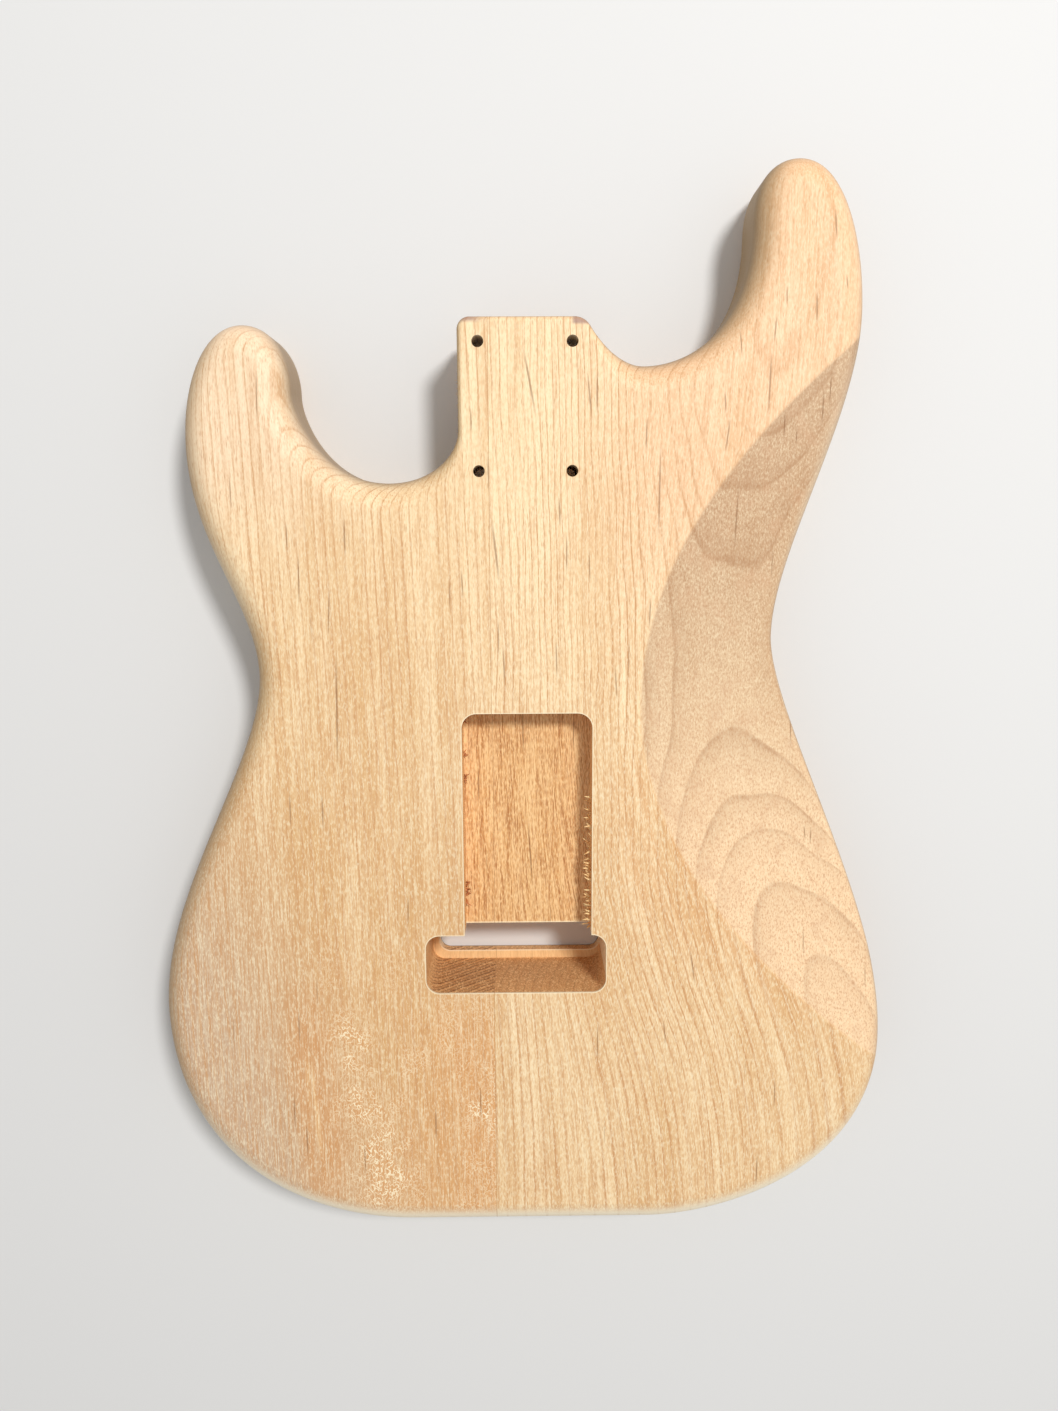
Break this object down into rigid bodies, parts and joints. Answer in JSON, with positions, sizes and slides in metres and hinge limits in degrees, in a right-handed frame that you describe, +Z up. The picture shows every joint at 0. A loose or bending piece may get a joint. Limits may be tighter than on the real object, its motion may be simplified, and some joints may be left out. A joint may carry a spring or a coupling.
{
  "type": "electric guitar body",
  "caption": "Bare two-board alder electric guitar body with double cutaway, belly and forearm cuts, bolt-on neck pocket, pickup and control routes, and spring vibrato cavity.",
  "frame": {"origin": "on the centreline, on the front face, on the line where the bridge pivots", "axes": "+X across to the bass side, +Y along the grain to the neck, +Z up to the back face; the body lies on its front face"},
  "size_m": [0.3225, 0.463, 0.0444],
  "materials": {
    "treble_alder": "bare sanded alder, straight fine grain",
    "bass_alder": "bare sanded alder, wider growth rings and cathedrals in the belly cut",
    "glue": "cured wood glue line, planed flush"
  },
  "bodies": {
    "root": {"treble_board": "treble_alder", "bass_board": "bass_alder", "glue_line_neck": "glue", "glue_line_tail": "glue"}
  },
  "joints": []
}
